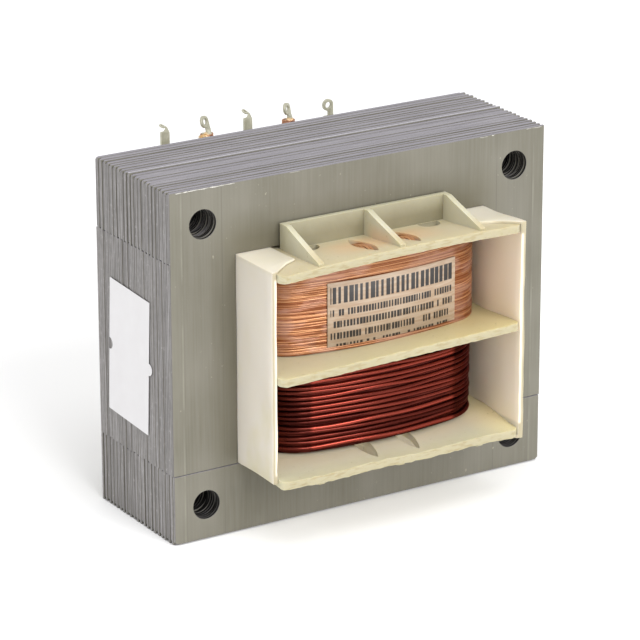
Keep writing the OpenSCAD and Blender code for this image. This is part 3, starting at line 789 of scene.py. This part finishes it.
class Coil:
    """One winding: its outer layer as a real helix, over a closed body with the end turns laid on it."""

    def __init__(self, z_low, wire_d, build_x, build_y, turns, corner, sides, seed):
        self.half_x, self.half_y = TUBE_X + build_x, TUBE_Y + build_y
        self.z_low, self.wire_d, self.turns = z_low, wire_d, turns
        self.corner, self.sides, self.seed = corner, sides, seed
        self.parts = Parts()

    def outline(self, inward):
        return coil_outline(self.half_x - inward, self.half_y - inward, self.corner, CROWN_R)

    def helix(self, slack, drift, fan):
        """The outer turns. slack moves them in and out, drift up and down, fan parts them on the right."""
        r = self.wire_d / 2
        outline = self.outline(r)
        count = len(outline)
        pitch = (COIL_H - self.wire_d) / (self.turns - 1)
        source = random.Random(self.seed)
        depths = [source.random() for _ in range(self.turns + 1)]
        tones = [source.random() for _ in range(self.turns + 1)]
        slants = [source.uniform(-1, 1) for _ in range(self.turns + 1)]
        points, point_tones = [], []
        for i in range(count * (self.turns - 1) + 1):
            turn, place = divmod(i, count)
            (px, py), (nx, ny) = outline[place]
            right = ease_in(px, 4.0, 17.0) if py < 0 else 0.0
            z = self.z_low + r + pitch * i / count
            z += drift * noise.noise(Vector((px * 0.09, py * 0.09, turn * 5.3 + self.seed)))
            z += fan * right * slants[turn]
            z = min(max(z, self.z_low + r), self.z_low + COIL_H - r)
            wave = noise.noise(Vector((px * 0.1, turn * 3.1, self.seed)))
            inward = max(slack * (depths[turn] * 0.6 + 0.5 * wave), 0.0) + 0.02
            points.append(Vector((px - nx * inward, py - ny * inward, z)))
            point_tones.append(tones[turn])
        sweep(self.parts, points, r, self.sides, point_tones)

    def heart(self):
        """The closed body of turns under the outer layer."""
        outline = [p for p, _ in self.outline(self.wire_d * 0.75)]
        count = len(outline)
        low, high = self.z_low + 0.06, self.z_low + COIL_H - self.wire_d * 0.6
        verts = [(x, y, z) for z in (low, high) for x, y in outline]
        faces = [[i, count + i, count + (i + 1) % count, (i + 1) % count] for i in range(count)]
        faces += [list(range(count)), [count + i for i in reversed(range(count))]]
        self.parts.add(verts, faces, 0.0)

    def end_turns(self):
        """The turns that lie bare on the winding's upper end, from the tube outwards."""
        depth = self.half_y - TUBE_Y
        count = round(depth / self.wire_d)
        source = random.Random(self.seed + 50)
        z = self.z_low + COIL_H - self.wire_d / 2
        for k in range(1, count):
            t = k / count
            half_x = TUBE_X + (self.half_x - TUBE_X) * t
            outline = coil_outline(half_x, TUBE_Y + depth * t, 0.8 + self.corner * 0.85 * t, CROWN_R / t)
            sag = 0.5 * self.wire_d * source.random()
            points = [
                Vector((x, y, z - sag * (0.5 + 0.5 * math.sin(x * 0.3 + k))))
                for (x, y), _ in outline
            ]
            sweep(self.parts, points + points[:1], self.wire_d * 0.5, sides=5, tone=source.random())

    def strands(self, opening):
        """Loose turns that bulge up into an opening of the flange."""
        count, parts_of_path = 8, 12
        x, low_y, length = opening
        source = random.Random(self.seed + 80)
        top = self.z_low + COIL_H
        for k in range(count):
            aside = self.wire_d * (k - (count - 1) / 2)
            lean = source.uniform(-0.25, 0.35)
            lift = source.uniform(1.3, 1.6)
            path = []
            for i in range(parts_of_path + 1):
                t = 0.06 + 0.88 * i / parts_of_path
                swell = math.sin(math.pi * t)
                wave = 0.08 * math.sin(9 * t + 2 * k)
                path.append(Vector((x + aside * swell + lean * (t - 0.5), -low_y - length * t,
                                    top + lift * swell + wave)))
            sweep(self.parts, path, self.wire_d / 2, sides=6, tone=source.uniform(0.8, 1.3))

    def lead(self, opening, fraction, lug_x, turns, wrap_h, upper=True):
        """A wire end, up through an opening at a fraction of its length and on to turns round a lug."""
        opening_x, opening_y, length = opening
        rise_y = opening_y + fraction * length
        r = self.wire_d / 2
        turn_r = math.hypot(LUG_W, LUG_T) / 2 + r
        low_z = TOP_FLANGE_Z + r + LEAD_LIFT
        turn_z = TOP_FLANGE_Z + wrap_h
        side = 1 if opening_x > lug_x else -1
        path = smooth_path([Vector(p) for p in (
            (opening_x, rise_y, TOP_FLANGE_Z - FLANGE_T - self.wire_d),
            (opening_x, rise_y, TOP_FLANGE_Z),
            (opening_x, rise_y + LEAD_BEND, low_z + LEAD_HUMP),
            ((opening_x + lug_x) / 2, LUG_Y - 2 * turn_r, low_z + LEAD_HUMP),
            (lug_x + side * (turn_r + self.wire_d), LUG_Y - turn_r, (low_z + turn_z) / 2),
            (lug_x + side * turn_r, LUG_Y, turn_z),
        )], count=8)
        per_turn = 20
        for i in range(1, turns * per_turn + 1):
            a = side * 2 * math.pi * i / per_turn
            path.append(Vector((lug_x + side * turn_r * math.cos(a), LUG_Y + turn_r * math.sin(a * side),
                                turn_z + self.wire_d * i / per_turn)))
        if not upper:
            path = [Vector((p.x, p.y, CORE_H - p.z)) for p in path]
        sweep(self.parts, path, r, sides=8, tone=0.4)

    def settle(self, node, slot, material):
        settle(self.parts.build(node + "_wires", material, smooth_angle=60), slot, node)


def primary():
    """The fine wire in the upper chamber. Its ends go to the second and the fourth top lug."""
    coil = Coil(UPPER_COIL_Z, FINE_D, build_x=7.4, build_y=5.35, turns=58, corner=7.0, sides=6, seed=3)
    coil.helix(slack=0.16, drift=0.22, fan=0.3)
    coil.heart()
    coil.end_turns()
    for opening in LEAD_SLOTS:
        coil.strands(opening)
    coil.lead(LEAD_SLOTS[0], 0.12, LUG_X[1], turns=8, wrap_h=6.2)
    coil.lead(LEAD_SLOTS[1], 0.45, LUG_X[3], turns=8, wrap_h=6.2)
    coil.settle("primary_winding", "primary_copper", FINE_WIRE)


def secondary():
    """The thick wire in the lower chamber, and the finish of the winding that lies hidden under it."""
    coil = Coil(LOWER_COIL_Z, THICK_D, build_x=7.3, build_y=5.95, turns=18, corner=8.5, sides=14, seed=8)
    coil.helix(slack=0.22, drift=0.3, fan=0.22)
    coil.heart()
    coil.end_turns()
    coil.lead(LEAD_SLOTS[1], 0.575, LUG_X[3], turns=1, wrap_h=3, upper=False)
    coil.lead(LEAD_SLOTS[1], 0.32, LUG_X[4], turns=1, wrap_h=3, upper=False)
    coil.settle("outer_secondary_winding", "secondary_copper", RED_WIRE)
    inner = frame["nodes"]["inner_secondary_winding"].data.materials
    inner.clear()
    inner.append(RED_WIRE)


# ---- mouldings and small metal parts: the CAD's shapes, eased and bent as the real ones are ----

MERGE_DISTANCE = 0.002
FLAT_ANGLE = math.radians(1)  # faces that turn by less than this are joined before a mesh is cut
EDGE_ANGLE = math.radians(35)  # edges sharper than this are eased


def cut(mesh, axis, places):
    """Cuts a bmesh by planes across an axis, so that it can bend there."""
    for place in places:
        at, along = Vector((0, 0, 0)), Vector((0, 0, 0))
        at[axis], along[axis] = place * MM, 1
        geometry = mesh.verts[:] + mesh.edges[:] + mesh.faces[:]
        bmesh.ops.bisect_plane(mesh, geom=geometry, plane_co=at, plane_no=along)


def refined(node, material, slot, ease, cuts=(), warp=None, segments=2, smooth=True):
    """A copy of a node's mesh that stands for it: cut at places along axes, warped, its edges eased."""
    copy = bmesh.new()
    copy.from_mesh(frame["nodes"][node].data)
    bmesh.ops.remove_doubles(copy, verts=copy.verts, dist=MERGE_DISTANCE * MM)
    bmesh.ops.dissolve_limit(copy, angle_limit=FLAT_ANGLE, verts=copy.verts, edges=copy.edges)
    for axis, places in cuts:
        cut(copy, axis, places)
    if warp:
        for v in copy.verts:
            v.co = warp(v.co / MM) * MM
    mesh = bpy.data.meshes.new(node + "_finished")
    copy.to_mesh(mesh)
    copy.free()
    mesh.materials.append(material)
    if smooth:
        mesh.shade_smooth()
    else:
        mesh.shade_flat()
    piece = link(bpy.data.objects.new(node + "_finished", mesh))
    bevel = piece.modifiers.new("ease", "BEVEL")
    bevel.width = ease * MM
    bevel.segments = segments
    bevel.limit_method = "ANGLE"
    bevel.angle_limit = EDGE_ANGLE
    bevel.harden_normals = smooth
    settle(piece, slot, node)


def flange_lift(p):
    """How far the end flanges, and the covers with them, have bent away from each other at their edges."""
    out = ease_in(abs(p.y), TUBE_Y, FLANGE_Y)
    bow_length = 58.0
    if p.y < 0:
        top = 0.9 * math.cos(math.pi * (p.x - 8.0) / bow_length)
        bottom = -1.15 - 0.1 * math.sin(p.x * 0.35)
    else:
        top = 0.25 * math.cos(math.pi * p.x / bow_length)
        bottom = -0.2
    upper_part = ease_in(p.z, 30.0, 42.0)
    lower_part = 1 - ease_in(p.z, 13.0, 25.0)
    return out * (top * upper_part + bottom * lower_part)


def moulded(p):
    """The bobbin's real shape: bowed end flanges, a tilted middle flange and rough outer edges."""
    moved = Vector(p)
    moved.z += flange_lift(p)
    if p.y < 0 and abs(p.z - MIDDLE_Z) < FLANGE_T:
        tilt = 0.025
        moved.z += ease_in(-p.y, TUBE_Y, FLANGE_Y) * tilt * (p.x + 3.0)
    edge = ease_in(abs(p.y), FLANGE_Y - 1.4, FLANGE_Y)
    if edge and BOTTOM_FLANGE_Z - 0.1 <= p.z <= TOP_FLANGE_Z + 0.1:
        level = 7.0 * round(p.z)
        coarse = noise.noise(Vector((p.x * 0.55, level, 0.0)))
        fine = noise.noise(Vector((p.x * 1.7, level, 5.0)))
        ragged = 0.22 if p.z < LOWER_COIL_Z + 1 else 0.1
        moved.z += edge * ragged * (coarse + 0.6 * fine)
        worn = abs(noise.noise(Vector((p.x * 0.8, level, 9.0))))
        moved.y += inwards(p.y, edge * 0.22 * worn)
    return moved


def clasped(p):
    """A cover's real shape: it follows the bowed flanges, and its wall is a little wavy.

    The left one is shorter in front, and the sagging bottom flange has slipped out of it there.
    """
    moved = Vector(p)
    lift = flange_lift(p)
    if p.x < 0 and p.y < 0:
        moved.y += 1.2 * ease_in(-p.y, TUBE_Y, COVER_Y)
        moved.z += lift * (0.1 if p.z < MIDDLE_Z else 1)
    else:
        moved.z += lift
    wave = abs(noise.noise(Vector((p.y * 0.12, p.z * 0.1, p.x * 0.02)))) * 0.3
    moved.x += inwards(p.x, wave * ease_in(abs(p.x), 18.0, 21.0))
    edge = ease_in(abs(p.y), COVER_Y - 0.5, COVER_Y)
    worn = abs(noise.noise(Vector((p.z * 0.5, p.x, 2.0))))
    moved.y += inwards(p.y, edge * 0.35 * worn)
    return moved


def mouldings():
    """The bobbin and its two covers."""
    across = steps(-21.0, 21.0, 0.7)
    depths = [side * d for d in (13.5, 15.0, 16.5, 18.0, 19.5, 20.7, 21.6, 22.3) for side in (-1, 1)]
    refined("bobbin", NYLON, "bobbin_nylon", 0.14, ((X, across), (Y, depths)), moulded, segments=3)
    cuts = ((Y, steps(-COVER_Y, COVER_Y, 1.5)), (Z, steps(COVER_LOW.z, COVER_HIGH.z, 2.0)))
    for side in ("left", "right"):
        refined(f"side_cover_{side}", COVER, "cover_plastic", 0.16, cuts, clasped, segments=3)


# How each top lug is bent, from left to right: the twist of its blade and of its eye in degrees, the size
# of its eye, and how far its neck is drawn out.
TOP_LUG_BENDS = (
    (12, 30, 0.5, 2.1),
    (-20, 48, 1.0, 0.7),
    (14, 30, 0.55, 2.0),
    (-10, 44, 1.0, 0.5),
    (-6, 8, 1.0, 0.0),
)


def lug_bend(lug_x, upright, twist, eye_twist, eye_size, stretch):
    """A warp that twists a lug's blade and its eye, shrinks the eye and draws out the neck."""
    foot_z, up = (TOP_FLANGE_Z, 1) if upright else (BOTTOM_FLANGE_Z, -1)
    neck = Vector((LUG_W / 2, 0, NECK_H))

    def warp(p):
        height = up * (p.z - foot_z)
        local = Vector((p.x - lug_x, p.y - LUG_Y, height))
        if height > NECK_H:
            local = neck + eye_size * (local - neck)
        in_eye = ease_in(height, NECK_H - 0.4, NECK_H + 0.4)
        angle = twist * ease_in(height, 0.5, 8.0) + eye_twist * in_eye
        local = Quaternion((0, 0, 1), math.radians(angle)) @ local
        local.z += stretch * ease_in(height, NECK_H - 3.0, NECK_H)
        return Vector((lug_x + local.x, LUG_Y + local.y, foot_z + up * local.z))

    return warp


def solder(name, centre, size, seed):
    """A lump of solder and flux. size is its reach along each axis."""
    shape = bmesh.new()
    bmesh.ops.create_icosphere(shape, subdivisions=4, radius=1.0)
    verts = []
    for v in shape.verts:
        lumps = 1 + 0.28 * noise.noise(v.co * 1.7 + Vector((seed, 0, 0)))
        verts.append(Vector([c * s for c, s in zip(v.co, size)]) * lumps + Vector(centre))
    faces = [[v.index for v in face.verts] for face in shape.faces]
    shape.free()
    settle(mesh_object(name, verts, faces, FLUX, smooth_angle=80), "tinned_lug")


def lugs():
    """The ten lugs, and the solder on those that hold a wire."""
    top_cuts = steps(TOP_FLANGE_Z, CORE_H, 0.8)
    bottom_cuts = [CORE_H - z for z in top_cuts]
    for i, lug_x in enumerate(LUG_X):
        bend = lug_bend(lug_x, True, *TOP_LUG_BENDS[i])
        refined(f"top_lug_{i + 1}", TINNED, "tinned_lug", 0.07, ((Z, top_cuts),), bend)
        twist = TOP_LUG_BENDS[LUG_COUNT - 1 - i][0] / 2
        bend = lug_bend(lug_x, False, twist, 0, 1, 0)
        refined(f"bottom_lug_{i + 1}", TINNED, "tinned_lug", 0.07, ((Z, bottom_cuts),), bend)
    wraps_z = TOP_FLANGE_Z + 7.5
    solder("top_lug_2_solder", (LUG_X[1] - 0.25, LUG_Y - 0.2, wraps_z), (1.2, 0.95, 0.8), 1.0)
    solder("top_lug_4_solder", (LUG_X[3] + 0.1, LUG_Y - 0.2, wraps_z + 0.1), (0.8, 0.75, 0.85), 2.0)
    for number in (1, 2, 4, 5):
        centre = (LUG_X[number - 1], LUG_Y, BOTTOM_FLANGE_Z - 3.4)
        solder(f"bottom_lug_{number}_solder", centre, (0.95, 0.65, 0.8), 2.0 + number)


def labels():
    """The rating label, and the sticker a little askew on the core's left side."""
    refined("rating_label", FILM, "label_film", 0.02, segments=1)
    low, high = node_box("side_label")
    middle = (low + high) / 2
    turn = Quaternion((1, 0, 0), math.radians(3.0))
    refined("side_label", PAPER, "sticker_paper", 0.02, warp=lambda p: middle + turn @ (p - middle),
            segments=1, smooth=False)


# ---- floor, light and camera ----

FLOOR_REACH = 1500
WORLD_STRENGTH = 0.78

# Name, azimuth and elevation in degrees, then the distance, width and height in metres, and the power.
SOFTBOXES = (
    ("front_softbox", 6, 30, 1.2, 0.87, 0.6, 13),
    ("top_softbox", -20, 75, 1.3, 0.9, 0.9, 5),
    ("left_softbox", -80, 30, 1.3, 0.7, 0.8, 3),
)

CAMERA_PLACE = Vector((-273.386, -440.748, 210.037))
CAMERA_TARGET = Vector((1.208, 2.765, 25.160))
CAMERA_ROLL = math.radians(-0.149)
CAMERA_LENS = 202.0
CAMERA_SENSOR = 36.0


def towards(place, target):
    """The turn with which a light or a camera at a place looks at the target."""
    return (target - place).to_track_quat("-Z", "Y")


def floor():
    """The studio's floor, which is no part of the object."""
    reach = FLOOR_REACH
    corners = [(-reach, -reach, 0), (reach, -reach, 0), (reach, reach, 0), (-reach, reach, 0)]
    mesh_object("floor", corners, [[0, 1, 2, 3]], floor_surface())


def world():
    """Even white light from all round."""
    made = bpy.data.worlds.new("studio")
    made.use_nodes = True
    back = made.node_tree.nodes["Background"]
    back.inputs["Color"].default_value = (1, 1, 1, 1)
    back.inputs["Strength"].default_value = WORLD_STRENGTH
    bpy.context.scene.world = made


def softbox(name, azimuth, elevation, distance, width, height, power):
    """A soft box that faces the object. Azimuth 0 is in front and 90 on the right."""
    a, e = math.radians(azimuth), math.radians(elevation)
    target = Vector((0, 0, MIDDLE_Z * MM))
    away = Vector((math.sin(a) * math.cos(e), -math.cos(a) * math.cos(e), math.sin(e)))
    place = target + distance * away
    lamp = bpy.data.lights.new(name, "AREA")
    lamp.shape = "RECTANGLE"
    lamp.size, lamp.size_y = width, height
    lamp.energy = power
    holder = link(bpy.data.objects.new(name, lamp))
    holder.location = place
    holder.rotation_euler = towards(place, target).to_euler()


def camera():
    place, target = CAMERA_PLACE * MM, CAMERA_TARGET * MM
    lens = bpy.data.cameras.new("camera")
    lens.sensor_width = CAMERA_SENSOR
    lens.lens = CAMERA_LENS
    lens.dof.use_dof = False
    holder = link(bpy.data.objects.new("camera", lens))
    holder.location = place
    roll = Quaternion((0, 0, 1), CAMERA_ROLL)
    holder.rotation_euler = (towards(place, target) @ roll).to_euler()
    bpy.context.scene.camera = holder


core()
burrs()
mouldings()
primary()
secondary()
lugs()
labels()
floor()
world()
for box in SOFTBOXES:
    softbox(*box)
camera()
bpy.context.scene.view_settings.view_transform = "Standard"
